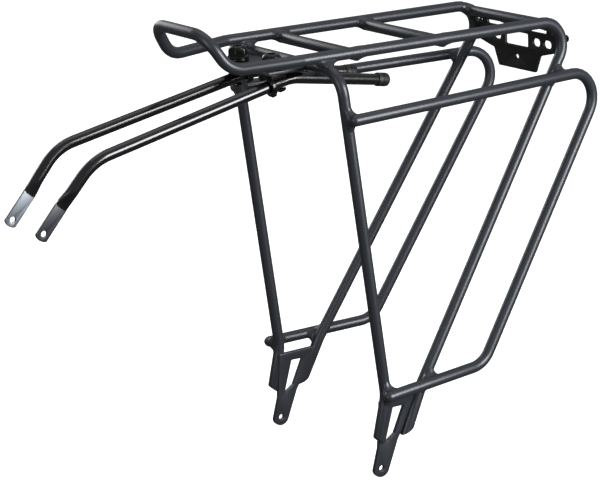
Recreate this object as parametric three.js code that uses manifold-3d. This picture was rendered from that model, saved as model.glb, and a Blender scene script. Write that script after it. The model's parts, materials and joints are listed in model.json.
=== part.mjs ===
// Rear carrier for a bicycle: a welded frame of round tube, two adjustable stays and a light plate.
// Millimetres. +X towards the rear of the bicycle, -Y its left side, +Z up.
// The origin is midway between the two eyelet holes at the foot of the frame.
import * as THREE from 'three';
import { mergeVertices } from 'three/addons/utils/BufferGeometryUtils.js';
import Module from 'manifold-3d';

const wasm = await Module();
wasm.setup();

// Driving dimensions
const tubeRadius = 5.2;
const weldGap = 0.3;
const deckHeight = 376.7;
const deckHalfWidth = 65;
const footHalfWidth = 88.3;       // leg centre lines at the feet
const legLean = 0.6526;          // rear legs and loop drops: run forward per mm of fall
const deckBend = 21.5;             // bend radii on the tube centre line
const loopBend = 25;
const archBend = 21;
const archZ = 366;
const archHalfWidth = 87.2;
const hoopBend = 22;
const archX = -30.7;
const hoopStartX = -42;
const crossbarX = [4, 97];
const crossbarDrop = 3.4;
const rearBar = { x: 221.3, z: 372 };
const lightPlateX = 229;
const rearBoltX = 229.4;
const rearBoltZ = 358.5;
const deckVertexX = 247.9;       // where a deck rail's line meets its rear leg's line
const plateCentreY = 84.2;        // the foot plates lie in the legs' inner sides
const plateThickness = 4;
const eyeletRadius = 2.75;
const clampX = -62;
const clampHalfWidth = 28;
const stayRadius = 5.2;
const stayRise = 0.211;          // climb of a stay per mm towards the rear
const stayAtClampZ = 351;
const staySplay = 0.0276;        // outward per mm towards the front
const bracketTopZ = 365.3;

const paint = { color: 0x2b2d33, roughness: 0.5, metalness: 0.35 };
const gloss = { color: 0x0d0e10, roughness: 0.15, metalness: 0.4 };
const bare = { color: 0x8b9198, roughness: 0.35, metalness: 0.9 };
const rubber = { color: 0x111112, roughness: 0.8, metalness: 0 };
const matt = { color: 0x18191b, roughness: 0.7, metalness: 0.2 };

const v = (x, y, z) => new THREE.Vector3(x, y, z);
const group = new THREE.Group();
group.name = 'rear_carrier';

function add(name, geometry, finish) {
  const mesh = new THREE.Mesh(geometry, new THREE.MeshStandardMaterial(finish));
  mesh.name = name;
  group.add(mesh);
}

// Mirrored pair: build(side) with side -1 for the left and +1 for the right
function addPair(name, build, finish) {
  add('left_' + name, build(-1), finish);
  add('right_' + name, build(1), finish);
}

// Solid helpers ---------------------------------------------------------------------------------

function toManifold(geometry) {
  const bareGeometry = geometry.clone();
  bareGeometry.deleteAttribute('normal');
  bareGeometry.deleteAttribute('uv');
  const welded = mergeVertices(bareGeometry, 1e-4);
  return new wasm.Manifold(new wasm.Mesh({
    numProp: 3,
    vertProperties: new Float32Array(welded.attributes.position.array),
    triVerts: new Uint32Array(welded.index.array),
  }));
}

function toGeometry(solid) {
  const mesh = solid.getMesh();
  const geometry = new THREE.BufferGeometry();
  geometry.setAttribute('position', new THREE.BufferAttribute(new Float32Array(mesh.vertProperties), 3));
  geometry.setIndex(new THREE.BufferAttribute(new Uint32Array(mesh.triVerts), 1));
  geometry.computeVertexNormals();
  return geometry;
}

function cut(geometry, ...tools) {
  return toGeometry(tools.reduce((solid, tool) => solid.subtract(toManifold(tool)), toManifold(geometry)));
}

function join(geometry, ...others) {
  return toGeometry(others.reduce((solid, other) => solid.add(toManifold(other)), toManifold(geometry)));
}

// Points of a path whose corners are rounded to the given bend radius
function roundedPath(corners, bend, steps = 6) {
  const points = [corners[0].clone()];
  for (let i = 1; i < corners.length - 1; i += 1) {
    const inward = corners[i].clone().sub(corners[i - 1]).normalize();
    const outward = corners[i + 1].clone().sub(corners[i]).normalize();
    const turn = inward.angleTo(outward);
    const reach = bend * Math.tan(turn / 2);
    const start = corners[i].clone().addScaledVector(inward, -reach);
    const normal = outward.clone().addScaledVector(inward, -outward.dot(inward)).normalize();
    const centre = start.clone().addScaledVector(normal, bend);
    for (let k = 0; k <= steps; k += 1) {
      const angle = (turn * k) / steps;
      points.push(centre.clone()
        .addScaledVector(normal, -bend * Math.cos(angle))
        .addScaledVector(inward, bend * Math.sin(angle)));
    }
  }
  points.push(corners[corners.length - 1].clone());
  return points;
}

// Round bar along a list of points, closed at both ends
function bar(points, radius = tubeRadius, sides = 16) {
  const tangents = points.map((p, i) => {
    const back = i > 0 ? p.clone().sub(points[i - 1]).normalize() : v(0, 0, 0);
    const ahead = i < points.length - 1 ? points[i + 1].clone().sub(p).normalize() : v(0, 0, 0);
    return back.add(ahead).normalize();
  });
  const helper = Math.abs(tangents[0].z) < 0.9 ? v(0, 0, 1) : v(1, 0, 0);
  let normal = helper.addScaledVector(tangents[0], -helper.dot(tangents[0])).normalize();
  const positions = [];
  points.forEach((p, i) => {
    normal = normal.clone().addScaledVector(tangents[i], -normal.dot(tangents[i])).normalize();
    const binormal = tangents[i].clone().cross(normal);
    for (let s = 0; s < sides; s += 1) {
      const angle = (2 * Math.PI * s) / sides;
      const q = p.clone()
        .addScaledVector(normal, radius * Math.cos(angle))
        .addScaledVector(binormal, radius * Math.sin(angle));
      positions.push(q.x, q.y, q.z);
    }
  });
  const index = [];
  const last = (points.length - 1) * sides;
  for (let i = 0; i < last; i += sides) {
    for (let s = 0; s < sides; s += 1) {
      const n = (s + 1) % sides;
      index.push(i + s, i + n, i + sides + s, i + n, i + sides + n, i + sides + s);
    }
  }
  for (let s = 1; s < sides - 1; s += 1) {
    index.push(0, s + 1, s, last, last + s, last + s + 1);
  }
  const geometry = new THREE.BufferGeometry();
  geometry.setAttribute('position', new THREE.Float32BufferAttribute(positions, 3));
  geometry.setIndex(index);
  geometry.computeVertexNormals();
  return geometry;
}

// Plate from an outline drawn on (x, z), centred on the plane y
function uprightPlate(outline, y, thickness, holes = []) {
  const shape = new THREE.Shape(outline.map(([x, z]) => new THREE.Vector2(x, z)));
  holes.forEach((hole) => shape.holes.push(hole));
  const geometry = new THREE.ExtrudeGeometry(shape, { depth: thickness, bevelEnabled: false });
  geometry.rotateX(Math.PI / 2);
  geometry.translate(0, y + thickness / 2, 0);
  return geometry;
}

// Plate from an outline drawn on (y, z), its front face on the plane x
function crossPlate(outline, x, thickness, holes = []) {
  const shape = new THREE.Shape(outline.map(([y, z]) => new THREE.Vector2(y, z)));
  holes.forEach((hole) => shape.holes.push(hole));
  const geometry = new THREE.ExtrudeGeometry(shape, { depth: thickness, bevelEnabled: false });
  geometry.rotateX(Math.PI / 2);
  geometry.rotateZ(Math.PI / 2);
  geometry.translate(x, 0, 0);
  return geometry;
}

function circle(x, y, radius, sides = 16) {
  const points = [];
  for (let s = 0; s < sides; s += 1) {
    const angle = (-2 * Math.PI * s) / sides;
    points.push(new THREE.Vector2(x + radius * Math.cos(angle), y + radius * Math.sin(angle)));
  }
  return new THREE.Path(points);
}

// Round-ended hole, its straight part running 2 * halfRun along the outline's first axis
function slotHole(x, y, halfRun, radius, sides = 16) {
  const points = circle(x, y, radius, sides).getPoints();
  return new THREE.Path(points.map((p) => new THREE.Vector2(p.x + Math.sign(p.x - x) * halfRun, p.y)));
}

function polygonHole(outline) {
  return new THREE.Path(outline.map(([x, y]) => new THREE.Vector2(x, y)));
}

function cylinder(radius, height, sides = 20) {
  const geometry = new THREE.CylinderGeometry(radius, radius, height, sides);
  geometry.rotateX(Math.PI / 2);
  return geometry;
}

function box(x0, x1, y0, y1, z0, z1) {
  const geometry = new THREE.BoxGeometry(x1 - x0, y1 - y0, z1 - z0);
  geometry.translate((x0 + x1) / 2, (y0 + y1) / 2, (z0 + z1) / 2);
  return geometry;
}

const towards = (from, to, distance) => from.clone().addScaledVector(to.clone().sub(from).normalize(), distance);

// Centre lines ----------------------------------------------------------------------------------

const deckVertex = (s) => v(deckVertexX, s * deckHalfWidth, deckHeight);
const rearLegBend = (s) => v(deckVertexX - legLean * (deckHeight - 70), s * 84.5, 70);
const rearLegFoot = (s) => v(23.1, s * 87.6, 19.9);
const hoopJoint = (s) => v(hoopStartX, s * deckHalfWidth, deckHeight);
const archCorner = (s) => v(archX, s * archHalfWidth, archZ);
const frontLegBend = (s) => v(4.9, s * 88.6, 68.5);
const frontLegFoot = (s) => v(-7.1, s * footHalfWidth, 18);

// A point where a straight part of the frame is divided between two nodes
const archSplit = (s) => towards(archCorner(s), frontLegBend(s), archBend * 1.1);

const rearLegSplit = (s) => towards(deckVertex(s), rearLegBend(s), deckBend * 1.84 + 2);

// Pannier loops lie against the outer side of the legs
const loopFrontTop = (s) => v(-29.5, s * 98.9, 325.4);
const loopRearTop = (s) => v(278, s * 75.4, 328.5);
const loopRearLow = (s) => v(113.9, s * 89.8, 74.6);
const loopFrontLow = (s) => v(-4.2, s * 100.7, 71.6);

// Frame -----------------------------------------------------------------------------------------

function frontHoop() {
  const rise = (s) => [
    v(-52, s * deckHalfWidth, deckHeight),
    v(-117, s * 50.8, deckHeight - 2.7),
    v(-135.8, s * 43.7, 405.1),
  ];
  const corners = [hoopJoint(-1), ...rise(-1), ...rise(1).reverse(), hoopJoint(1)];
  return bar(roundedPath(corners, hoopBend, 5));
}

function sideRail(s) {
  const start = hoopJoint(s).add(v(weldGap, 0, 0));
  const rail = bar(roundedPath([start, deckVertex(s), rearLegSplit(s)], deckBend, 7));
  return cut(rail, rearBoltBore(s));
}

// Takes the inner side off both legs where the foot plate lies
function plateRecess(s) {
  const outer = plateCentreY + plateThickness / 2 + weldGap;
  return box(-30, 70, Math.min(s * 60, s * outer), Math.max(s * 60, s * outer), 0, 63.8);
}

// Takes everything below a plane through (x, y, z), which is tilted about Y
function slantedCut(x, y, z, tilt) {
  const block = new THREE.BoxGeometry(34, 30, 24);
  block.translate(0, 0, -12);
  block.rotateY(tilt);
  block.translate(x, y, z);
  return block;
}

function rearLeg(s) {
  const top = towards(rearLegSplit(s), rearLegBend(s), weldGap);
  const leg = bar(roundedPath([top, rearLegBend(s), rearLegFoot(s)], 40, 3));
  return cut(leg, plateRecess(s), slantedCut(27, s * 87.1, 29.1, -0.367));
}

function frontArch() {
  const corners = [archSplit(-1), archCorner(-1), archCorner(1), archSplit(1)];
  return bar(roundedPath(corners, archBend, 6));
}

function frontLeg(s) {
  const top = towards(archSplit(s), frontLegBend(s), weldGap);
  const leg = bar(roundedPath([top, frontLegBend(s), frontLegFoot(s)], 40, 4));
  return cut(leg, plateRecess(s), slantedCut(-3.6, s * footHalfWidth, 27.1, 0.734));
}

function crossbar(x, z) {
  const end = deckHalfWidth - tubeRadius - weldGap;
  return bar([v(x, -end, z), v(x, end, z)]);
}

function loopTopRail(s) {
  const end = towards(loopRearTop(s), loopRearLow(s), loopBend * 1.84 + 2);
  return bar(roundedPath([loopFrontTop(s), loopRearTop(s), end], loopBend, 7));
}

function loopDrop(s) {
  const top = towards(loopRearTop(s), loopRearLow(s), loopBend * 1.84 + 2 + weldGap);
  const end = towards(loopRearLow(s), loopRearTop(s), loopBend * 0.56 + 2 + weldGap);
  return bar([top, end]);
}

function loopLowRail(s) {
  const top = towards(loopRearLow(s), loopRearTop(s), loopBend * 0.56 + 2);
  return bar(roundedPath([top, loopRearLow(s), loopFrontLow(s)], loopBend, 5));
}

// Foot plate: a forked plate with an open middle, drilled for the eyelet bolt
function dropoutPlate(s) {
  const outline = [];
  for (let k = 0; k <= 8; k += 1) {
    const angle = Math.PI * (1.04 + (0.85 * k) / 8);
    outline.push([8.4 * Math.cos(angle), 8.4 * Math.sin(angle)]);
  }
  outline.push([18.8, 24.2], [22, 29], [27, 32.5], [42.6, 63], [0.6, 63], [-2.6, 19.5]);
  const window = polygonHole([[4.6, 22.9], [15, 29.8], [26.4, 54.2], [14, 54.6]]);
  return uprightPlate(outline, s * plateCentreY, plateThickness, [window, circle(0, 0, eyeletRadius)]);
}

// Bracket ahead of the front arch: a slotted web for the clamp bolts, stiffened by two ribs
function stayBracket() {
  const slotLength = 22;
  const backX = archX - tubeRadius - weldGap;
  const web = box(-76, backX, -41, 41, bracketTopZ - 3, bracketTopZ);
  const ribOutline = [[-64, 352], [-40, 352], [-34, 353.6], [-29, 357], [-26.5, 360.4], [backX - 2, 360.4],
    [backX - 2, bracketTopZ - 1], [-64, bracketTopZ - 1]];
  const ribs = [-1, 1].map((s) => uprightPlate(ribOutline, s * 9.2, 2.6));
  const slots = [-1, 1].map((s) => box(clampX - 4.3, clampX + 4.3, s * clampHalfWidth - slotLength / 2,
    s * clampHalfWidth + slotLength / 2, bracketTopZ - 5, bracketTopZ + 2));
  return cut(join(web, ...ribs), ...slots);
}

// Light plate behind the rear crossbar, with three tabs up to it
function lightPlate() {
  const half = [[27.5, 322], [34.6, 338.5], [57, 344], [59.3, 346.5], [59.3, 360.8], [52.3, 360.8],
    [52.3, 368], [44.7, 368], [44.7, 360.8], [19.5, 360.8], [19.5, 368]];
  const outline = [...half, ...half.map(([y, z]) => [-y, z]).reverse()];
  const holes = [circle(0, 334, 3.7, 4),
    polygonHole([[-17.3, 344.6], [-17.3, 357.6], [17.3, 357.6], [17.3, 344.6]])];
  [-1, 1].forEach((s) => {
    holes.push(slotHole(s * 29.6, 351, 1.8, 3.9), slotHole(s * 45.9, 351, 2.1, 3.9));
  });
  const tabs = [[-48.5, 3.8], [0, 19.5], [48.5, 3.8]].map(([y, halfWidth]) => box(
    rearBar.x + tubeRadius + weldGap, lightPlateX + 1, y - halfWidth, y + halfWidth, 364.6, 368));
  return join(crossPlate(outline, lightPlateX, 3, holes), ...tabs);
}

// Button-head bolt in the back of each deck bend, for a lamp or reflector strap
function rearBolt(s) {
  const profile = [[0, 0], [2.4, 0], [2.4, 5.9], [3.6, 5.9], [3.6, 7], [2.9, 8.2], [0, 8.6]];
  const bolt = new THREE.LatheGeometry(profile.map(([r, x]) => new THREE.Vector2(r, x)), 16);
  bolt.rotateZ(-Math.PI / 2);
  bolt.translate(rearBoltX, s * deckHalfWidth, rearBoltZ);
  return bolt;
}

function rearBoltBore(s) {
  const bore = cylinder(2.7, 20, 16);
  bore.rotateY(Math.PI / 2);
  bore.translate(rearBoltX + 9.7, s * deckHalfWidth, rearBoltZ);
  return bore;
}

// Stays -----------------------------------------------------------------------------------------

const stayY = (s, x) => s * (clampHalfWidth + staySplay * (clampX - x));
const stayDirection = (s) => v(1, -s * staySplay, stayRise).normalize();
const stayLine = (s, x) => v(x, stayY(s, x), stayAtClampZ + stayRise * (x - clampX));
const stayBendFront = (s) => stayLine(s, -241);
const tabPlaneY = (s) => s * 29.4;
const stayTip = (s) => v(-290.5, tabPlaneY(s), 256.5);
const stayBendRear = (s) => stayLine(s, -43);
const stayCapEnd = (s) => v(61, s * 25.5, 338.5);

function stay(s) {
  const start = towards(stayTip(s), stayBendFront(s), 31);
  const end = towards(stayCapEnd(s), stayBendRear(s), 2);
  const tube = bar(roundedPath([start, stayBendFront(s), stayBendRear(s), end], 45, 6), stayRadius);
  const mouth = tabBlock(s, 3.3, 20, 5.6);
  return cut(tube, mouth);
}

// A bar in the upright plane of the stay's front end, from its tip backwards
function tabBlock(s, thickness, back, halfWidth) {
  const along = stayBendFront(s).sub(stayTip(s)).normalize();
  const up = v(-along.z, 0, along.x);
  const at = (a, u) => {
    const p = stayTip(s).addScaledVector(along, a).addScaledVector(up, u);
    return [p.x, p.z];
  };
  const outline = [at(20, -halfWidth), at(20 + back, -halfWidth), at(20 + back, halfWidth), at(20, halfWidth)];
  return uprightPlate(outline.reverse(), tabPlaneY(s), thickness);
}

function stayTab(s) {
  const along = stayBendFront(s).sub(stayTip(s)).normalize();
  const up = v(-along.z, 0, along.x);
  const at = (a, u) => {
    const p = stayTip(s).addScaledVector(along, a).addScaledVector(up, u);
    return [p.x, p.z];
  };
  const hole = at(4, 0);
  const outline = [at(-2.5, -4.5), at(-1, -5.9), at(28, -5.9), at(30.5, -4.4), at(38, -4.4),
    at(38, 4.4), at(30.5, 4.4), at(28, 5.9), at(-1, 5.9), at(-2.5, 4.5)];
  return uprightPlate(outline, tabPlaneY(s), 2.7, [circle(hole[0], hole[1], 2.7, 14)]);
}

function stayCap(s) {
  const inward = stayBendRear(s).sub(stayCapEnd(s)).normalize();
  const outer = bar([stayCapEnd(s), stayCapEnd(s).addScaledVector(inward, 13)], 6.3, 16);
  const bore = bar([stayCapEnd(s).addScaledVector(inward, 1.7), stayCapEnd(s).addScaledVector(inward, 20)], 5.4, 16);
  return cut(outer, bore);
}

// Clamp: a hook with two fingers round the stay, on a bolt that passes up through the bracket's slot
function clampHook(s) {
  const centre = stayLine(s, clampX);
  const half = 8;
  const fingersX = clampX + 2.2;     // the fingers sit a little behind the bolt
  const middle = stayLine(s, fingersX);
  const body = bar([
    middle.clone().addScaledVector(stayDirection(s), -half),
    middle.clone().addScaledVector(stayDirection(s), half)], 9.4, 18);
  const bore = bar([centre.clone().addScaledVector(stayDirection(s), -30),
    centre.clone().addScaledVector(stayDirection(s), 30)], 5.55, 18);
  const window = box(fingersX - 2.8, fingersX + 2.8, centre.y - 12, centre.y + 12, centre.z - 14, centre.z + 3);
  const trim = box(clampX - 20, clampX + 20, centre.y - 20, centre.y + 20, bracketTopZ - 3.3, bracketTopZ + 9);
  const shank = cylinder(3.9, 17.6, 16);
  shank.translate(clampX, centre.y, bracketTopZ + 2.2);
  return join(cut(body, bore, window, trim), shank);
}

function clampWasher(s) {
  const y = s * clampHalfWidth;
  const ring = cylinder(9.8, 1.6, 24);
  const bore = cylinder(4.2, 4, 16);
  ring.translate(clampX, y, bracketTopZ + 1.1);
  bore.translate(clampX, y, bracketTopZ + 1.1);
  return cut(ring, bore);
}

function clampNut(s) {
  const base = bracketTopZ + 2.2;
  const profile = [[0, 0], [9.6, 0], [9.6, 1.6], [9, 2.6], [9, 6.6], [7.9, 9.4], [5.4, 10.8], [0, 11.4]];
  const dome = new THREE.LatheGeometry(profile.map(([r, z]) => new THREE.Vector2(r, z)), 24);
  dome.rotateX(Math.PI / 2);
  const hex = cylinder(9, 20, 6);
  hex.translate(0, 0, 12.6);
  const flange = cylinder(9.7, 2.6, 24);
  flange.translate(0, 0, 1.3);
  const bore = cylinder(4.1, 18, 16);
  const envelope = toManifold(hex).add(toManifold(flange));
  const nut = toGeometry(toManifold(dome).intersect(envelope).subtract(toManifold(bore)));
  nut.translate(clampX, s * clampHalfWidth, base);
  return nut;
}

// Assembly --------------------------------------------------------------------------------------

add('front_hoop', frontHoop(), paint);
addPair('side_rail', sideRail, paint);
addPair('rear_leg', rearLeg, paint);
add('front_arch', frontArch(), paint);
addPair('front_leg', frontLeg, paint);
add('front_crossbar', crossbar(crossbarX[0], deckHeight - crossbarDrop), paint);
add('middle_crossbar', crossbar(crossbarX[1], deckHeight - crossbarDrop), paint);
add('rear_crossbar', crossbar(rearBar.x, rearBar.z), paint);
addPair('loop_top_rail', loopTopRail, paint);
addPair('loop_drop', loopDrop, paint);
addPair('loop_low_rail', loopLowRail, paint);
addPair('dropout_plate', dropoutPlate, paint);
add('stay_bracket', stayBracket(), paint);
add('light_plate', lightPlate(), matt);
addPair('rear_bolt', rearBolt, gloss);
addPair('stay', stay, gloss);
addPair('stay_tab', stayTab, bare);
addPair('stay_cap', stayCap, rubber);
addPair('clamp_hook', clampHook, gloss);
addPair('clamp_washer', clampWasher, gloss);
addPair('clamp_nut', clampNut, gloss);

export default group;
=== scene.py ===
# Rear carrier for a bicycle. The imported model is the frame; this script gives it its finished look.
import json
import math

import bmesh
import bpy
import numpy as np
from mathutils import Matrix, Vector


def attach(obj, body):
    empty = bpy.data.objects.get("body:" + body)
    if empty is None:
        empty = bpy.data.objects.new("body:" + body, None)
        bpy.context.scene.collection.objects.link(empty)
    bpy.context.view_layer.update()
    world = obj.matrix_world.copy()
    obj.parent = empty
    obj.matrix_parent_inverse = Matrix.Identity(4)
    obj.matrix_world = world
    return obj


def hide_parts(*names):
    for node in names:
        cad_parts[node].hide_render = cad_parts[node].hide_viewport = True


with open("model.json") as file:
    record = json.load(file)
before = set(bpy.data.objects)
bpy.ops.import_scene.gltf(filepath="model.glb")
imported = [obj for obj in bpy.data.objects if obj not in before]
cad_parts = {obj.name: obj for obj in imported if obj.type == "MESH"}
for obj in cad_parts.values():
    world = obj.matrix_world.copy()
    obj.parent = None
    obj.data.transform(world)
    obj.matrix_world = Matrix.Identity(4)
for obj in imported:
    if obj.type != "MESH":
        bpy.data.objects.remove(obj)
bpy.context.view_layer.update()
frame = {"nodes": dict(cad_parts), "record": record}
print("frame loaded:", len(frame["nodes"]), "nodes")

mm = 0.001
sides = {"left": -1, "right": 1}


# ---- finishes

looks = {
    "frame_coat": {                      # satin powder coat on the welded tubes
        "dark": (0.027, 0.031, 0.040), "light": (0.038, 0.043, 0.055),
        "cloudScale": 22, "grainScale": 900, "grainHeight": 0.00004,
        "roughLow": 0.32, "roughHigh": 0.4, "metallic": 0.3, "specular": 0.75, "coat": 0.0,
    },
    "matt_plate": {                      # flatter black on the light plate
        "dark": (0.006, 0.006, 0.007), "light": (0.011, 0.011, 0.012),
        "cloudScale": 30, "grainScale": 1100, "grainHeight": 0.00003,
        "roughLow": 0.5, "roughHigh": 0.62, "metallic": 0.1, "specular": 0.4, "coat": 0.0,
    },
    "gloss_coat": {                      # gloss lacquer on the stays
        "dark": (0.004, 0.004, 0.006), "light": (0.008, 0.008, 0.011),
        "cloudScale": 18, "grainScale": 500, "grainHeight": 0.000003,
        "roughLow": 0.24, "roughHigh": 0.28, "metallic": 0.3, "specular": 0.6, "coat": 0.6,
    },
    "bare_alloy": {                      # uncoated flattened ends
        "dark": (0.20, 0.225, 0.26), "light": (0.31, 0.34, 0.38),
        "cloudScale": 90, "grainScale": 1300, "grainHeight": 0.00004,
        "roughLow": 0.34, "roughHigh": 0.5, "metallic": 0.85, "specular": 0.5, "coat": 0.0,
    },
    "black_hardware": {                  # blackened nuts, hooks and bolts
        "dark": (0.005, 0.005, 0.005), "light": (0.010, 0.010, 0.011),
        "cloudScale": 60, "grainScale": 700, "grainHeight": 0.00002,
        "roughLow": 0.2, "roughHigh": 0.32, "metallic": 0.5, "specular": 0.5, "coat": 0.3,
    },
    "cap_rubber": {                      # push-on end caps
        "dark": (0.008, 0.008, 0.009), "light": (0.014, 0.014, 0.015),
        "cloudScale": 80, "grainScale": 1400, "grainHeight": 0.00006,
        "roughLow": 0.42, "roughHigh": 0.58, "metallic": 0.0, "specular": 0.5, "coat": 0.0,
    },
}


def makeFinish(name, look):
    material = bpy.data.materials.new(name)
    material.use_nodes = True
    nodes, links = material.node_tree.nodes, material.node_tree.links
    shader = nodes["Principled BSDF"]
    shader.inputs["Metallic"].default_value = look["metallic"]
    shader.inputs["Specular IOR Level"].default_value = look["specular"]
    shader.inputs["Coat Weight"].default_value = look["coat"]
    shader.inputs["Coat Roughness"].default_value = 0.08
    place = nodes.new("ShaderNodeTexCoord")
    cloud = nodes.new("ShaderNodeTexNoise")            # slow drift of tone
    cloud.inputs["Scale"].default_value = look["cloudScale"]
    cloud.inputs["Detail"].default_value = 5
    tone = nodes.new("ShaderNodeMix")
    tone.data_type = "RGBA"
    tone.inputs["A"].default_value = (*look["dark"], 1)
    tone.inputs["B"].default_value = (*look["light"], 1)
    rough = nodes.new("ShaderNodeMapRange")
    rough.inputs["To Min"].default_value = look["roughLow"]
    rough.inputs["To Max"].default_value = look["roughHigh"]
    grain = nodes.new("ShaderNodeTexNoise")            # fine pebble of the coat
    grain.inputs["Scale"].default_value = look["grainScale"]
    grain.inputs["Detail"].default_value = 3
    bump = nodes.new("ShaderNodeBump")
    bump.inputs["Distance"].default_value = look["grainHeight"]
    bump.inputs["Strength"].default_value = 0.6
    links.new(place.outputs["Object"], cloud.inputs["Vector"])
    links.new(place.outputs["Object"], grain.inputs["Vector"])
    links.new(cloud.outputs["Fac"], tone.inputs["Factor"])
    links.new(tone.outputs["Result"], shader.inputs["Base Color"])
    links.new(grain.outputs["Fac"], rough.inputs["Value"])
    links.new(rough.outputs["Result"], shader.inputs["Roughness"])
    links.new(grain.outputs["Fac"], bump.inputs["Height"])
    links.new(bump.outputs["Normal"], shader.inputs["Normal"])
    return material


finishes = {name: makeFinish(name, look) for name, look in looks.items()}
for entry in frame["record"]["subparts"]:
    node = frame["nodes"][entry["node"]]
    node.data.materials.clear()
    node.data.materials.append(finishes[entry["material_slot"]])
print("finishes:", len(finishes))


# ---- mesh tools

def settle(obj, slotName, body, *replaced, smoothAngle=35):
    """keep"""
    mesh = obj.data
    mesh.materials.clear()
    mesh.materials.append(finishes[slotName])
    for face in mesh.polygons:
        face.use_smooth = True
        face.material_index = 0
    mesh.set_sharp_from_angle(angle=math.radians(smoothAngle))
    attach(obj, body)
    if replaced:
        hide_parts(*replaced)
    return obj


def meshObject(name, points, faces):
    mesh = bpy.data.meshes.new(name)
    mesh.from_pydata([tuple(p) for p in points], [], faces)
    mesh.validate()
    obj = bpy.data.objects.new(name, mesh)
    bpy.context.collection.objects.link(obj)
    return obj


def recalc(obj):
    bm = bmesh.new()
    bm.from_mesh(obj.data)
    bmesh.ops.remove_doubles(bm, verts=bm.verts, dist=1e-6)
    bmesh.ops.recalc_face_normals(bm, faces=bm.faces)
    bm.to_mesh(obj.data)
    bm.free()
    return obj


def joined(name, objects):
    bm = bmesh.new()
    for obj in objects:
        bm.from_mesh(obj.data)
    mesh = bpy.data.meshes.new(name)
    bm.to_mesh(mesh)
    bm.free()
    for obj in objects:
        bpy.data.objects.remove(obj)
    whole = bpy.data.objects.new(name, mesh)
    bpy.context.collection.objects.link(whole)
    return whole


# ---- round tube along a bent path, as a node tree

def makeTubeTree():
    tree = bpy.data.node_groups.new("bent tube", "GeometryNodeTree")
    face = tree.interface
    face.new_socket("Path", in_out="INPUT", socket_type="NodeSocketGeometry")
    face.new_socket("Tube radius", in_out="INPUT", socket_type="NodeSocketFloat")
    face.new_socket("Sides", in_out="INPUT", socket_type="NodeSocketInt")
    face.new_socket("Steps per bend", in_out="INPUT", socket_type="NodeSocketInt")
    face.new_socket("Finish", in_out="INPUT", socket_type="NodeSocketMaterial")
    face.new_socket("Tube", in_out="OUTPUT", socket_type="NodeSocketGeometry")
    add, link = tree.nodes.new, tree.links.new
    source, result = add("NodeGroupInput"), add("NodeGroupOutput")
    toCurve = add("GeometryNodeMeshToCurve")
    bend = add("GeometryNodeInputNamedAttribute")
    bend.data_type = "FLOAT"
    bend.inputs["Name"].default_value = "bend"
    swell = add("GeometryNodeInputNamedAttribute")
    swell.data_type = "FLOAT"
    swell.inputs["Name"].default_value = "swell"
    fillet = add("GeometryNodeFilletCurve")
    fillet.mode = "POLY"
    fillet.inputs["Limit Radius"].default_value = False
    thickness = add("GeometryNodeSetCurveRadius")
    ring = add("GeometryNodeCurvePrimitiveCircle")
    sweep = add("GeometryNodeCurveToMesh")
    sweep.inputs["Fill Caps"].default_value = True
    real = add("GeometryNodeRealizeInstances")
    paint = add("GeometryNodeSetMaterial")
    link(source.outputs["Path"], toCurve.inputs["Mesh"])
    link(toCurve.outputs["Curve"], fillet.inputs["Curve"])
    link(bend.outputs["Attribute"], fillet.inputs["Radius"])
    link(source.outputs["Steps per bend"], fillet.inputs["Count"])
    link(fillet.outputs["Curve"], thickness.inputs["Curve"])
    link(swell.outputs["Attribute"], thickness.inputs["Radius"])
    link(thickness.outputs["Curve"], sweep.inputs["Curve"])
    if "Scale" in sweep.inputs:
        link(swell.outputs["Attribute"], sweep.inputs["Scale"])
    link(source.outputs["Sides"], ring.inputs["Resolution"])
    link(source.outputs["Tube radius"], ring.inputs["Radius"])
    link(ring.outputs["Curve"], sweep.inputs["Profile Curve"])
    link(sweep.outputs["Mesh"], real.inputs["Geometry"])
    link(real.outputs["Geometry"], paint.inputs["Geometry"])
    link(source.outputs["Finish"], paint.inputs["Material"])
    link(paint.outputs["Geometry"], result.inputs["Tube"])
    return tree


tubeTree = makeTubeTree()


def runTree(obj, tree, values):
    modifier = obj.modifiers.new("shape", "NODES")
    modifier.node_group = tree
    for item in tree.interface.items_tree:
        if item.in_out == "INPUT" and item.name in values:
            modifier[item.identifier] = values[item.name]
    bpy.context.view_layer.update()
    graph = bpy.context.evaluated_depsgraph_get()
    mesh = bpy.data.meshes.new_from_object(obj.evaluated_get(graph))
    name = obj.name
    bpy.data.objects.remove(obj)
    made = bpy.data.objects.new(name, mesh)
    mesh.name = name
    bpy.context.collection.objects.link(made)
    return made


def tube(name, corners, radius, ringSides=28, steps=10):
    """keep"""
    path = bpy.data.meshes.new(name)
    points = [c[:3] for c in corners]
    path.from_pydata(points, [(i, i + 1) for i in range(len(points) - 1)], [])
    for key, column in (("bend", 3), ("swell", 4)):
        layer = path.attributes.new(key, "FLOAT", "POINT")
        layer.data.foreach_set("value", [float(c[column]) for c in corners])
    obj = bpy.data.objects.new(name, path)
    bpy.context.collection.objects.link(obj)
    values = {"Tube radius": radius, "Sides": ringSides, "Steps per bend": steps,
              "Finish": finishes["frame_coat"]}
    return recalc(runTree(obj, tubeTree, values))


def corner(x, y, z, bend=0.0, swell=1.0):
    return (x * mm, y * mm, z * mm, bend * mm, swell)


def softEnd(inner, end, edge=1.2, radius=5.0):
    """keep"""
    a, b = Vector(inner[:3]), Vector(end[:3])
    back = (a - b).normalized()
    out = []
    for k in range(5):
        turn = math.radians(90 * k / 4)
        depth, shrink = edge * (1 - math.sin(turn)), edge * (1 - math.cos(turn))
        p = b + back * depth * mm
        out.append((*p, 0.0, (radius - shrink) / radius))
    return out


# ---- the frame's centre lines, in millimetres

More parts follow.
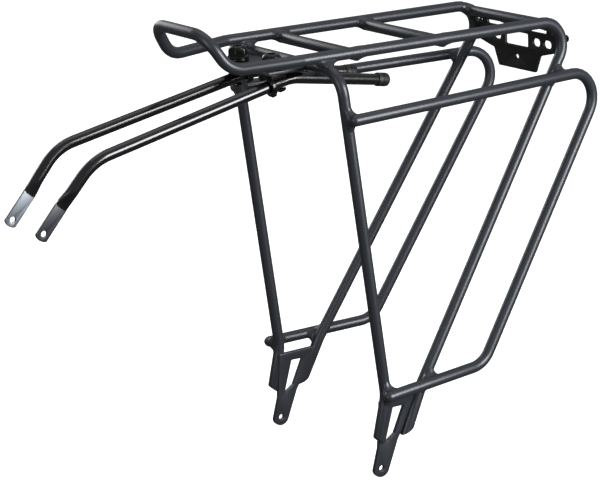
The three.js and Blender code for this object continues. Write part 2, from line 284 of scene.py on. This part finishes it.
tubes = {
    "radius": 5.2, "deckHeight": 376.7, "deckHalfWidth": 65.0, "deckBend": 21.5, "deckVertexX": 247.9,
    "hoopBend": 22.0, "legLean": 0.6526, "archX": -30.7, "archZ": 366.0, "archBend": 21.0, "archHalfWidth": 87.2,
    "rearFootCut": (27, 29.1, -0.367), "frontFootCut": (-3.6, 27.1, 0.734),      # x, z and tilt about Y
    "loopBend": 25.0, "crossbarX": (4.0, 97.0), "crossbarZ": 373.3, "rearBarX": 221.3, "rearBarZ": 372.0,
}


def deckRun(s):
    t = tubes
    legX = t["deckVertexX"] - t["legLean"] * (t["deckHeight"] - 70)
    return [
        corner(23.1, s * 87.6, 19.9),
        corner(legX, s * 84.5, 70, 40),
        corner(t["deckVertexX"], s * t["deckHalfWidth"], t["deckHeight"], t["deckBend"]),
        corner(-52, s * t["deckHalfWidth"], t["deckHeight"], t["hoopBend"]),
        corner(-117, s * 50.8, t["deckHeight"] - 2.7, t["hoopBend"]),
        corner(-135.8, s * 43.7, 405.1, t["hoopBend"]),
    ]


def archRun(s):
    return [
        corner(-7.1, s * 88.3, 18),
        corner(4.9, s * 88.6, 68.5, 40),
        corner(tubes["archX"], s * tubes["archHalfWidth"], tubes["archZ"], tubes["archBend"]),
    ]


def loopRun(s):
    return [
        corner(-29.5, s * 98.9, 325.4),
        corner(278, s * 75.4, 328.5, tubes["loopBend"]),
        corner(113.9, s * 89.8, 74.6, tubes["loopBend"]),
        corner(-4.2, s * 100.7, 71.6),
    ]


def withSoftEnds(run, edge=1.2):
    head = softEnd(run[1], run[0], edge)[::-1]
    tail = softEnd(run[-2], run[-1], edge)
    return head + list(run[1:-1]) + tail


def trimEnd(obj, x, z, tilt, round=1.3):
    """keep"""
    up = Vector((math.sin(tilt), 0, math.cos(tilt)))
    bm = bmesh.new()
    bm.from_mesh(obj.data)
    bmesh.ops.remove_doubles(bm, verts=bm.verts, dist=1e-7)
    near = [v for v in bm.verts if v.co.z < 0.06]
    edges = {e for v in near for e in v.link_edges}
    faces = {f for v in near for f in v.link_faces}
    cut = bmesh.ops.bisect_plane(bm, geom=list(near) + list(edges) + list(faces),
                                 plane_co=Vector((x, 0, z)) * mm, plane_no=up, clear_inner=True)
    rim = [e for e in cut["geom_cut"] if isinstance(e, bmesh.types.BMEdge)]
    caps = bmesh.ops.holes_fill(bm, edges=rim, sides=0)["faces"]
    for face in caps:
        bmesh.ops.bevel(bm, geom=list(face.edges), offset=round * mm, segments=3, profile=0.5, affect="EDGES")
    bmesh.ops.recalc_face_normals(bm, faces=bm.faces)
    bm.to_mesh(obj.data)
    bm.free()


def buildTubes():
    r = tubes["radius"] * mm
    deck = tube("deck_tube", deckRun(-1) + deckRun(1)[::-1], r)
    trimEnd(deck, *tubes["rearFootCut"])
    settle(deck, "frame_coat", "frame", "front_hoop", "left_side_rail", "right_side_rail",
           "left_rear_leg", "right_rear_leg")
    arch = tube("arch_tube", archRun(-1) + archRun(1)[::-1], r)
    trimEnd(arch, *tubes["frontFootCut"])
    settle(arch, "frame_coat", "frame", "front_arch", "left_front_leg", "right_front_leg")
    for side, s in sides.items():
        loop = tube(side + "_loop_tube", withSoftEnds(loopRun(s), 5.0), r)
        settle(loop, "frame_coat", "frame", side + "_loop_top_rail", side + "_loop_drop", side + "_loop_low_rail")
    places = [("front", tubes["crossbarX"][0], tubes["crossbarZ"]), ("middle", tubes["crossbarX"][1],
              tubes["crossbarZ"]), ("rear", tubes["rearBarX"], tubes["rearBarZ"])]
    for name, x, z in places:
        end = 62 if name == "rear" else 64           # the rear bar meets the rails where they already bend
        bar = tube(name + "_crossbar_tube", withSoftEnds([corner(x, -end, z), corner(x, end, z)], 2.4), r)
        settle(bar, "frame_coat", "frame", name + "_crossbar")
    print("tubes built")


buildTubes()


# ---- weld fillets: the skin of a soft join between two tubes, kept only where it stands proud of them

welds = {"grid": 0.65, "reach": 17.0, "tee": 7.0, "cross": 10.5, "proud": 0.02, "root": 1.6}


def vec(c):
    return Vector(c[:3]) / mm


def bentLine(corners, steps=10):
    points = [vec(corners[0])]
    for before, here, after in zip(corners, corners[1:], corners[2:]):
        a, b, c, bend = vec(before), vec(here), vec(after), here[3] / mm
        inward, outward = (b - a).normalized(), (c - b).normalized()
        turn = inward.angle(outward)
        if bend == 0 or turn < 1e-4:
            points.append(b)
            continue
        start = b - inward * bend * math.tan(turn / 2)
        side = (outward - inward * outward.dot(inward)).normalized()
        for k in range(steps + 1):
            angle = turn * k / steps
            points.append(start + side * bend * (1 - math.cos(angle)) + inward * bend * math.sin(angle))
    points.append(vec(corners[-1]))
    return points


def tubeField(cells, line, near, radius):
    field = np.full(cells.shape[:-1], 1e3)
    for a, b in zip(line, line[1:]):
        along = b - a
        t = max(0.0, min(1.0, (near - a).dot(along) / along.length_squared))
        if (a + along * t - near).length > 45:
            continue
        u = np.array(along) / along.length_squared
        where = np.clip((cells - np.array(a)) @ u, 0, 1)
        foot = np.array(a) + where[..., None] * np.array(along)
        field = np.minimum(field, np.linalg.norm(cells - foot, axis=-1) - radius)
    return field


def netSurface(field, low, step):
    shape = tuple(n - 1 for n in field.shape)
    total, count = np.zeros(shape + (3,)), np.zeros(shape)
    inside = field < 0
    grid = np.stack(np.meshgrid(*[np.arange(n) for n in field.shape], indexing="ij"), axis=-1).astype(float)
    crossings = []
    for axis in range(3):
        first = [slice(None)] * 3
        second = [slice(None)] * 3
        first[axis], second[axis] = slice(0, -1), slice(1, None)
        first, second = tuple(first), tuple(second)
        cut = inside[first] != inside[second]
        f0, f1 = field[first], field[second]
        t = np.where(cut, f0 / np.where(cut, f0 - f1, 1), 0)
        where = grid[first].copy()
        where[..., axis] += t
        others = [a for a in range(3) if a != axis]
        for d0 in (0, 1):
            for d1 in (0, 1):
                window = [slice(None)] * 3
                window[others[0]] = slice(d0, d0 + shape[others[0]])
                window[others[1]] = slice(d1, d1 + shape[others[1]])
                window = tuple(window)
                total += np.where(cut[window][..., None], where[window], 0)
                count += cut[window]
        crossings.append((axis, others, cut, inside[first]))
    index = np.full(shape, -1)
    used = count > 0
    index[used] = np.arange(used.sum())
    points = total[used] / count[used][:, None] * step + np.array(low)
    faces = []
    for axis, others, cut, insideFirst in crossings:
        for cell in np.argwhere(cut):
            if cell[others[0]] == 0 or cell[others[1]] == 0:
                continue
            corners = []
            for d0, d1 in ((1, 1), (0, 1), (0, 0), (1, 0)):
                c = cell.copy()
                c[others[0]] -= d0
                c[others[1]] -= d1
                if any(c[a] >= shape[a] for a in range(3)):
                    break
                corners.append(tuple(c))
            if len(corners) < 4:
                continue
            ids = [int(index[c]) for c in corners]
            flip = bool(insideFirst[tuple(cell)]) == (axis != 1)
            faces.append(ids if flip else ids[::-1])
    return points, faces


def softJoin(name, lineA, lineB, near, blendSize, between=None):
    """keep"""
    half, step = welds["reach"], welds["grid"]
    low = [c - half for c in near]
    ticks = [np.arange(l, l + 2 * half + step, step) for l in low]
    cells = np.stack(np.meshgrid(*ticks, indexing="ij"), axis=-1)
    a = tubeField(cells, lineA, near, tubes["radius"])
    b = tubeField(cells, lineB, near, tubes["radius"])
    size = np.full(a.shape, float(blendSize))
    if between is not None:
        away = (cells - np.array(near)) @ np.array(between) / 5.2
        size = size * np.clip(np.exp(-away ** 2), 0.02, 1)
    edge = np.clip(np.linalg.norm(cells - np.array(near), axis=-1) / half, 0, 1)
    size = size * np.clip(1.3 * (1 - edge ** 3), 0.02, 1)
    soft = np.clip(size - np.abs(a - b), 0, None) / size
    plain = np.minimum(a, b)
    joinedField = plain - soft ** 2 * size / 4
    proud = (plain - joinedField - welds["proud"]) * 4
    weld = np.maximum(np.maximum(joinedField, -plain - welds["root"]), -proud)
    for axis in range(3):                            # nothing reaches the edge of the grid
        for side in (0, -1):
            np.moveaxis(weld, axis, 0)[side] = 1
    points, faces = netSurface(weld, low, step)
    obj = meshObject(name, points * mm, faces)
    bm = bmesh.new()
    bm.from_mesh(obj.data)
    loose = [v for v in bm.verts if not v.link_faces]
    bmesh.ops.delete(bm, geom=loose, context="VERTS")
    bmesh.ops.smooth_vert(bm, verts=bm.verts, factor=0.3, use_axis_x=True, use_axis_y=True, use_axis_z=True)
    bm.to_mesh(obj.data)
    bm.free()
    return obj


def closest(lineA, lineB):
    best = None
    for a, b in zip(lineA, lineA[1:]):
        for c, d in zip(lineB, lineB[1:]):
            for i in range(21):
                p = a.lerp(b, i / 20)
                u = d - c
                q = c + u * max(0, min(1, (p - c).dot(u) / u.length_squared))
                v = b - a
                p = a + v * max(0, min(1, (q - a).dot(v) / v.length_squared))
                gap = (p - q).length
                if best is None or gap < best[0]:
                    best = (gap, p, q)
    return best


def buildWelds():
    made = []
    deck = bentLine(deckRun(-1) + deckRun(1)[::-1])
    arch = bentLine(archRun(-1) + archRun(1)[::-1])
    for x, z in [(x, tubes["crossbarZ"]) for x in tubes["crossbarX"]] + [(tubes["rearBarX"], tubes["rearBarZ"])]:
        for s in (-1, 1):
            bar = [Vector((x, 0, z)), Vector((x, s * 58.5, z))]
            made.append(softJoin("weld", deck, bar, Vector((x, s * 60, z)), welds["tee"]))
    for s in (-1, 1):
        loop = bentLine(loopRun(s))
        loop[0] += (loop[1] - loop[0]).normalized() * tubes["radius"]
        loop[-1] += (loop[-2] - loop[-1]).normalized() * tubes["radius"]
        rail = [Vector((-50, s * 65, 376.7)), Vector((0, s * 65, 376.7))]
        frontLeg = bentLine(archRun(s))
        rearLeg = bentLine(deckRun(s)[:3])
        top, low = loop[:2], loop[-2:]
        for a, b in ((rail, arch), (top, frontLeg), (top, rearLeg), (low, frontLeg), (low, rearLeg)):
            gap, p, q = closest(a, b)
            made.append(softJoin("weld", a, b, (p + q) / 2, welds["cross"], (q - p).normalized()))
            print("weld gap", round(gap, 2), [round(c, 1) for c in (p + q) / 2])
    whole = joined("frame_welds", made)
    settle(whole, "frame_coat", "frame", smoothAngle=80)
    print("welds built:", len(made), "faces:", len(whole.data.polygons))


buildWelds()


# ---- flat plates with softened edges

def roundedOutline(points, radius, steps=5):
    """keep"""
    out = []
    n = len(points)
    for i in range(n):
        a, b, c = (Vector((*points[(i + k) % n][:2], 0)) for k in (-1, 0, 1))
        inward, outward = (b - a).normalized(), (c - b).normalized()
        turn = inward.angle(outward)
        if turn < math.radians(18):
            out.append((b.x, b.y))
            continue
        reach = min(radius * math.tan(turn / 2), 0.45 * (b - a).length, 0.45 * (c - b).length)
        bend = reach / math.tan(turn / 2)
        start = b - inward * reach
        side = (outward - inward * outward.dot(inward)).normalized()
        for k in range(steps + 1):
            angle = turn * k / steps
            p = start + side * bend * (1 - math.cos(angle)) + inward * bend * math.sin(angle)
            out.append((p.x, p.y))
    return out


def circleOutline(x, y, radius, count=32):
    return [(x + radius * math.cos(2 * math.pi * k / count), y + radius * math.sin(2 * math.pi * k / count))
            for k in range(count)]


def flatPlate(name, outlines, thickness, edge, place):
    """keep"""
    curve = bpy.data.curves.new(name, "CURVE")
    curve.dimensions = "2D"
    curve.fill_mode = "BOTH"
    curve.extrude = thickness / 2 - edge
    curve.bevel_depth = edge
    curve.bevel_resolution = 2
    curve.offset = -edge
    for outline in outlines:
        spline = curve.splines.new("POLY")
        spline.points.add(len(outline) - 1)
        for point, (u, v) in zip(spline.points, outline):
            point.co = (u, v, 0, 1)
        spline.use_cyclic_u = True
    obj = bpy.data.objects.new(name, curve)
    bpy.context.collection.objects.link(obj)
    bpy.context.view_layer.update()
    mesh = bpy.data.meshes.new_from_object(obj.evaluated_get(bpy.context.evaluated_depsgraph_get()))
    bpy.data.objects.remove(obj)
    for vertex in mesh.vertices:
        vertex.co = Vector(place(*vertex.co)) * mm
    made = bpy.data.objects.new(name, mesh)
    bpy.context.collection.objects.link(made)
    return recalc(made)


footPlate = {
    "centreY": 84.2, "thickness": 4.0, "tipRadius": 8.4, "eyelet": 2.75, "edge": 0.5,
    "sides": [(18.8, 24.2), (22, 29), (27, 32.5), (42.6, 63), (0.6, 63), (-2.6, 19.5)],
    "window": [(4.6, 22.9), (15, 29.8), (26.4, 54.2), (14, 54.6)],
}


def buildFootPlates():
    p = footPlate
    tip = []
    for k in range(17):
        angle = math.pi * (1.04 + 0.85 * k / 16)
        tip.append((p["tipRadius"] * math.cos(angle), p["tipRadius"] * math.sin(angle)))
    outer = tip + roundedOutline([tip[-1]] + p["sides"] + [tip[0]], 1.5)[6:-6]
    for side, s in sides.items():
        plate = flatPlate(side + "_foot_plate", [outer, roundedOutline(p["window"], 0.9),
                          circleOutline(0, 0, p["eyelet"])], p["thickness"], p["edge"],
                          lambda u, v, w, s=s: (u, s * p["centreY"] + w, v))
        settle(plate, "frame_coat", "frame", side + "_dropout_plate")
    print("foot plates built")


buildFootPlates()


lampPlate = {
    "frontX": 229.0, "thickness": 3.0, "edge": 0.35,
    "half": [(27.5, 322), (34.6, 338.5), (57, 344), (59.3, 346.5), (59.3, 360.8), (52.3, 360.8),
             (52.3, 368), (44.7, 368), (44.7, 360.8), (19.5, 360.8), (19.5, 368)],
    "window": [(-17.3, 344.6), (17.3, 344.6), (17.3, 357.6), (-17.3, 357.6)],
    "slots": [(29.6, 351, 1.8, 3.9), (45.9, 351, 2.1, 3.9)], "diamond": 3.7, "diamondZ": 334.0,
    "tabs": [(-48.5, 3.8), (0, 19.5), (48.5, 3.8)],
}


def buildLampPlate():
    p = lampPlate
    outer = roundedOutline(p["half"] + [(-y, z) for y, z in p["half"][::-1]], 1.6)
    d = p["diamond"]
    holes = [roundedOutline(p["window"], 1.6),
             roundedOutline([(d, p["diamondZ"]), (0, p["diamondZ"] + d), (-d, p["diamondZ"]),
                             (0, p["diamondZ"] - d)], 0.7)]
    for y, z, run, r in p["slots"]:
        for s in (-1, 1):
            ring = circleOutline(0, z, r)
            holes.append([(s * y + u + math.copysign(run, u), v) for u, v in ring])
    middle = p["frontX"] + p["thickness"] / 2
    pieces = [flatPlate("lamp_plate", [outer] + holes, p["thickness"], p["edge"],
                        lambda u, v, w: (middle + w, u, v))]
    for y, half in p["tabs"]:                       # tabs up to the rear crossbar
        tab = [(224.0, 366.2), (226.5, 364.6), (231.5, 364.6), (231.5, 368), (224.0, 369.6)]
        pieces.append(flatPlate("tab", [roundedOutline(tab, 0.8)], 2 * half, 0.3,
                                lambda u, v, w, y=y: (u, y + w, v)))
    settle(joined("lamp_plate", pieces), "matt_plate", "frame", "light_plate")
    print("lamp plate built")


buildLampPlate()


bracket = {
    "frontX": -76.0, "backX": -35.2, "halfWidth": 41.0, "topZ": 365.3, "thickness": 3.0,
    "slotHalf": (4.3, 11.0), "clampX": -62.0, "clampY": 28.0, "ribY": 9.2, "ribThickness": 2.6,
    "rib": [(-64, 352), (-40, 352), (-34, 353.6), (-29, 357), (-26.5, 360.4), (-37.5, 360.4),
            (-37.5, 363.5), (-64, 363.5)],
}


def buildBracket():
    b = bracket
    web = roundedOutline([(b["frontX"], -b["halfWidth"]), (b["backX"], -b["halfWidth"]),
                          (b["backX"], b["halfWidth"]), (b["frontX"], b["halfWidth"])], 4)
    outlines = [web]
    for s in (-1, 1):
        u, v = b["slotHalf"]
        y = s * b["clampY"]
        outlines.append(roundedOutline([(b["clampX"] - u, y - v), (b["clampX"] + u, y - v),
                                        (b["clampX"] + u, y + v), (b["clampX"] - u, y + v)], u * 0.98, 8))
    pieces = [flatPlate("web", outlines, b["thickness"], 0.5,
                        lambda u, v, w: (u, v, b["topZ"] - b["thickness"] / 2 + w))]
    for s in (-1, 1):
        pieces.append(flatPlate("rib", [roundedOutline(b["rib"], 1.5)], b["ribThickness"], 0.4,
                                lambda u, v, w, s=s: (u, s * b["ribY"] + w, v)))
    settle(joined("stay_bracket_plates", pieces), "frame_coat", "frame", "stay_bracket")
    print("bracket built")


buildBracket()


# ---- turned pieces

def lathe(name, profile, origin, direction, count=40, shape=None):
    """keep"""
    direction = direction.normalized()
    across = direction.orthogonal().normalized()
    third = direction.cross(across)
    points, faces = [], []
    for r, t in profile:
        for k in range(count):
            turn = 2 * math.pi * k / count
            reach = min(r, shape(turn)) if shape else r
            points.append((origin + direction * t + (across * math.cos(turn) + third * math.sin(turn)) * reach) * mm)
    rows = len(profile)
    for i in range(rows - 1):
        for k in range(count):
            n = (k + 1) % count
            faces.append((i * count + k, i * count + n, (i + 1) * count + n, (i + 1) * count + k))
    if profile[0] != profile[-1]:
        faces.append(tuple(range(count))[::-1])
        faces.append(tuple(range((rows - 1) * count, rows * count)))
    return recalc(meshObject(name, points, faces))


def buildRearBolts():
    profile = [(2.3, 2), (2.3, 5.9), (3.3, 5.9), (3.6, 6.2), (3.6, 7.0), (3.3, 7.7), (2.7, 8.2), (2.0, 8.45),
               (1.5, 8.5), (1.3, 7.7), (0.2, 7.7)]
    for side, s in sides.items():
        bolt = lathe(side + "_rear_bolt_head", profile, Vector((229.4, s * 65, 358.5)), Vector((1, 0, 0)))
        settle(bolt, "black_hardware", "frame", side + "_rear_bolt", smoothAngle=40)


buildRearBolts()


# ---- stays, in millimetres

stays = {
    "radius": 5.2, "rise": 0.211, "splay": 0.0276, "clampX": -62.0, "clampY": 28.0, "clampZ": 351.0,
    "tip": (-290.5, 29.4, 256.5), "capEnd": (61, 25.5, 338.5), "bend": 45.0, "tabThickness": 2.7,
    "tabLength": 29.0, "pressLength": 17.0,
}


def stayPoint(s, x):
    y = stays["clampY"] + stays["splay"] * (stays["clampX"] - x)
    return Vector((x, s * y, stays["clampZ"] + stays["rise"] * (x - stays["clampX"])))


def stayDirection(s):
    return Vector((1, -s * stays["splay"], stays["rise"])).normalized()


def buildStays():
    for side, s in sides.items():
        tip, capEnd = (Vector((stays[k][0], s * stays[k][1], stays[k][2])) for k in ("tip", "capEnd"))
        front, rear = stayPoint(s, -241), stayPoint(s, -43)
        ahead = (front - tip).normalized()
        start = tip + ahead * stays["tabLength"]
        end = capEnd + (rear - capEnd).normalized() * 2
        run = [corner(*(start + ahead * 2 * k)) for k in range(11)]
        run += [corner(*front, stays["bend"]), corner(*rear, stays["bend"]), corner(*end)]
        bar = tube(side + "_stay_tube", run, stays["radius"] * mm)
        for vertex in bar.data.vertices:            # pressed flat towards the front end
            point = vertex.co / mm
            far = (point - start).dot(ahead)
            if far > stays["pressLength"]:
                continue
            press = 1 - max(0.0, far) / stays["pressLength"]
            press = press * press * (3 - 2 * press)
            axis = start + ahead * far
            off = point - axis
            flat = Vector((0, 1, 0))
            wide = ahead.cross(flat).normalized()
            sideways, tall = off.dot(flat), off.dot(wide)
            half = stays["tabThickness"] / 2
            unit = sideways / stays["radius"]
            unit = math.copysign(abs(unit) ** (1 - 0.75 * press), unit)
            sideways = unit * (stays["radius"] + press * (half * 1.12 - stays["radius"]))
            tall *= 1 + press * (5.85 / stays["radius"] - 1)
            axis.y += (tip.y - axis.y) * press
            vertex.co = (axis + flat * sideways + wide * tall) * mm
        settle(bar, "gloss_coat", side + "_stay", side + "_stay")
        along = Vector(((front - tip).x, 0, (front - tip).z)).normalized()
        up = Vector((-along.z, 0, along.x))
        outline = [(stays["tabLength"] + 1, -5.8), (stays["tabLength"] + 1, 5.8)]
        for k in range(13):                         # rounded front end
            angle = math.radians(44 - 88 * k / 12)
            outline.append((5.9 - 8.4 * math.cos(angle), 8.4 * math.sin(angle)))
        hole = circleOutline(4, 0, 2.7)

        def place(u, v, w, tip=tip, along=along, up=up):
            return tip + along * u + up * v + Vector((0, w, 0))
        tab = flatPlate(side + "_stay_end", [outline, hole], stays["tabThickness"], 0.25, place)
        settle(tab, "bare_alloy", side + "_stay", side + "_stay_tab")
        tab.data.materials.append(finishes["gloss_coat"])
        tab.data.materials.append(finishes["frame_coat"])
        for face in tab.data.polygons:              # only the inner face is left bare
            across = face.normal.y * s
            face.material_index = 0 if across < -0.9 else 2 if across > 0.9 else 1
        inward = (rear - capEnd).normalized()
        profile = [(0.3, 0), (3.2, 0.15), (4.9, 0.8), (5.9, 1.9), (6.25, 3.4), (6.25, 7.6), (5.85, 7.9),
                   (5.85, 8.6), (6.25, 8.9), (6.25, 12.4), (6.0, 12.95), (5.3, 13)]
        cap = lathe(side + "_stay_cap_rubber", profile, capEnd, inward)
        settle(cap, "cap_rubber", side + "_stay", side + "_stay_cap")
    print("stays built")


buildStays()


# ---- clamps

clamps = {
    "fingerWidth": 5.0, "fingerGap": 5.8, "fingerShift": 2.2, "inner": 5.6, "outer": 9.2, "edge": 1.1,
    "nutRadius": 9.0, "baseZ": 367.5, "washer": (4.3, 9.7, 1.6),
}


def clampFinger(middle, direction, outward, down, start, end):
    """keep"""
    c = clamps
    w, e = c["fingerWidth"] / 2, c["edge"]
    section = roundedOutline([(c["inner"], -w), (c["outer"], -w), (c["outer"], w), (c["inner"], w)], e, 4)
    steps = 36
    points, faces = [], []
    n = len(section)
    for i in range(steps + 1):
        turn = math.radians(start + (end - start) * i / steps)
        ray = outward * math.cos(turn) + down * math.sin(turn)
        thin = 1 - 0.35 * max(0, i / steps - 0.8) / 0.2
        for r, w2 in section:
            reach = c["inner"] + (r - c["inner"]) * thin
            points.append((middle + ray * reach + direction * w2) * mm)
    for i in range(steps):
        for k in range(n):
            m = (k + 1) % n
            faces.append((i * n + k, i * n + m, (i + 1) * n + m, (i + 1) * n + k))
    faces.append(tuple(range(n)))
    faces.append(tuple(range(steps * n, steps * n + n))[::-1])
    return recalc(meshObject("finger", points, faces))


def buildClamps():
    c = clamps
    for side, s in sides.items():
        centre, direction = stayPoint(s, stays["clampX"]), stayDirection(s)
        offset = (c["fingerGap"] + c["fingerWidth"]) / 2
        parts = []
        outward = Vector((0, s, 0))
        outward = (outward - direction * outward.dot(direction)).normalized()
        down = direction.cross(outward)
        down = down if down.z < 0 else -down
        middle = stayPoint(s, stays["clampX"] + c["fingerShift"])
        # the front finger comes down on the outer side, the rear one on the inner side
        parts.append(clampFinger(middle - direction * offset, direction, outward, down, -88, 128))
        parts.append(clampFinger(middle + direction * offset, direction, -outward, down, -88, 128))
        lip = middle - direction * offset + outward * 3.4 + down * 7.0
        w, e = c["fingerWidth"] / 2, 0.8
        profile = [(0.2, -w), (2.4 - e, -w), (2.4, -w + e), (2.4, w - e), (2.4 - e, w), (0.2, w)]
        parts.append(lathe("lip", profile, lip, direction, 24))
        saddle = roundedOutline([(-9.8, 6.2), (9.8, 6.2), (9.8, 11), (-9.8, 11)], 1.2)
        parts.append(flatPlate("saddle", [saddle], 14, 0.8,
                               lambda u, v, w, middle=middle: (middle.x + u * 0.8, middle.y + w, 351 + v)))
        parts.append(lathe("shank", [(3.9, 8), (3.9, 24.4), (3.3, 25.1), (0.2, 25.1)], centre, Vector((0, 0, 1)), 32))
        settle(joined(side + "_clamp_fingers", parts), "black_hardware", side + "_clamp_hook", side + "_clamp_hook")
        inner, outer, high = c["washer"]
        base = Vector((stays["clampX"], s * stays["clampY"], 365.6))
        ring = [(inner, 0), (outer - 0.2, 0), (outer, 0.3), (outer, high - 0.3), (outer - 0.2, high), (inner, high),
                (inner, 0)]
        settle(lathe(side + "_clamp_washer_ring", ring, base, Vector((0, 0, 1)), 48), "black_hardware",
               side + "_clamp_top", side + "_clamp_washer")
        base = Vector((stays["clampX"], s * stays["clampY"], c["baseZ"]))
        half = c["nutRadius"] * math.cos(math.pi / 6)

        def hexagon(turn, half=half):
            return half / math.cos((turn % (math.pi / 3)) - math.pi / 6)
        flange = lathe("flange", [(4.2, 0), (9.4, 0), (9.6, 0.4), (9.6, 1.2), (9.1, 2.0), (7.4, 2.6), (4.2, 2.6),
                                  (4.2, 0)], base, Vector((0, 0, 1)), 48)
        profile = [(4.2, 1.5), (9.0, 1.5), (8.9, 6.8), (8.3, 8.6), (7.5, 9.9), (6.7, 10.7), (5.6, 11.15),
                   (4.6, 11.25), (4.2, 11.0), (4.2, 1.5)]
        nut = lathe("nut", profile, base, Vector((0, 0, 1)), 96, hexagon)
        settle(joined(side + "_clamp_nut_hex", [flange, nut]), "black_hardware", side + "_clamp_top",
               side + "_clamp_nut", smoothAngle=25)
    print("clamps built")


buildClamps()


# ---- camera, floor and lights

stage = {
    "floorZ": -0.0095, "floorColor": (0.9, 0.9, 0.9), "floorGlow": 0.8, "wallTop": 5.0,
    "worldUp": 0.3, "worldLevel": 0.24, "worldDown": 0.1,
    "keyPower": 44, "topPower": 5, "sidePower": 7, "backPower": 14,
}

view = {
    "azimuth": -34.12, "elevation": 13.94, "roll": -1.87, "distance": 1.907,
    "target": (0.050, 0.0, 0.2457), "lens": 124.9, "shiftX": -0.108, "shiftY": -0.1057,
}


def placeCamera():
    a, e, r = (math.radians(view[k]) for k in ("azimuth", "elevation", "roll"))
    back = Vector((math.sin(a) * math.cos(e), -math.cos(a) * math.cos(e), math.sin(e)))
    right = (-back).cross(Vector((0, 0, 1))).normalized()
    up = right.cross(-back)
    tiltedRight = right * math.cos(r) + up * math.sin(r)
    tiltedUp = up * math.cos(r) - right * math.sin(r)
    camera = bpy.data.objects.new("camera", bpy.data.cameras.new("camera"))
    bpy.context.collection.objects.link(camera)
    turn = Matrix((tiltedRight, tiltedUp, back)).transposed()
    camera.matrix_world = Matrix.Translation(Vector(view["target"]) + back * view["distance"]) @ turn.to_4x4()
    camera.data.lens = view["lens"]
    camera.data.shift_x = view["shiftX"]
    camera.data.shift_y = view["shiftY"]
    bpy.context.scene.camera = camera


def areaLight(name, place, target, size, power):
    light = bpy.data.lights.new(name, "AREA")
    light.shape = "RECTANGLE"
    light.size, light.size_y = size
    light.energy = power
    lamp = bpy.data.objects.new(name, light)
    bpy.context.collection.objects.link(lamp)
    lamp.location = place
    lamp.rotation_euler = (Vector(target) - Vector(place)).to_track_quat("-Z", "Y").to_euler()
    return lamp


def buildStage():
    floor = meshObject("floor", [(-6, -6, stage["floorZ"]), (6, -6, stage["floorZ"]), (6, 6, stage["floorZ"]),
                                 (-6, 6, stage["floorZ"])], [(0, 1, 2, 3)])
    material = bpy.data.materials.new("floor")
    material.use_nodes = True
    shader = material.node_tree.nodes["Principled BSDF"]
    shader.inputs["Base Color"].default_value = (*stage["floorColor"], 1)
    shader.inputs["Roughness"].default_value = 0.9
    floor.data.materials.append(material)
    shader.inputs["Emission Color"].default_value = (1, 1, 1, 1)
    shader.inputs["Emission Strength"].default_value = stage["floorGlow"]
    floor.visible_diffuse = False                    # a glowing white floor would wash the tubes out
    floor.visible_glossy = False
    rim = [(5.9 * math.cos(math.pi * k / 24), 5.9 * math.sin(math.pi * k / 24)) for k in range(48)]
    points = [(x, y, z) for z in (stage["floorZ"], stage["wallTop"]) for x, y in rim]
    wall = meshObject("backdrop", points, [(k, 48 + k, 48 + (k + 1) % 48, (k + 1) % 48) for k in range(48)])
    wall.data.materials.append(material)
    wall.visible_diffuse = wall.visible_glossy = wall.visible_shadow = False
    world = bpy.data.worlds.new("studio")
    world.use_nodes = True
    nodes, links = world.node_tree.nodes, world.node_tree.links
    place = nodes.new("ShaderNodeTexCoord")
    split = nodes.new("ShaderNodeSeparateXYZ")
    rise = nodes.new("ShaderNodeMapRange")
    rise.inputs["From Min"].default_value = -1
    ramp = nodes.new("ShaderNodeValToRGB")
    stops = ramp.color_ramp.elements
    stops[0].position, stops[1].position = 0.35, 1.0
    middleStop = stops.new(0.55)
    for stop, value in ((stops[0], "worldDown"), (middleStop, "worldLevel"), (stops[2], "worldUp")):
        stop.color = (stage[value],) * 3 + (1,)
    links.new(place.outputs["Generated"], split.inputs["Vector"])
    links.new(split.outputs["Z"], rise.inputs["Value"])
    links.new(rise.outputs["Result"], ramp.inputs["Fac"])
    links.new(ramp.outputs["Color"], nodes["Background"].inputs["Color"])
    bpy.context.scene.world = world
    middle = (0.05, 0, 0.25)
    areaLight("top", (0.1, 0.2, 2.0), middle, (1.8, 1.4), stage["topPower"])
    areaLight("key", (0.75, -1.8, 0.72), middle, (0.8, 1.0), stage["keyPower"])
    areaLight("back", (-0.3, 2.0, 1.1), middle, (1.2, 1.0), stage["backPower"])
    areaLight("side", (-1.9, -0.6, 0.7), middle, (0.5, 1.2), stage["sidePower"])
    bpy.context.scene.view_settings.view_transform = "Standard"


placeCamera()
buildStage()
print("stage set")
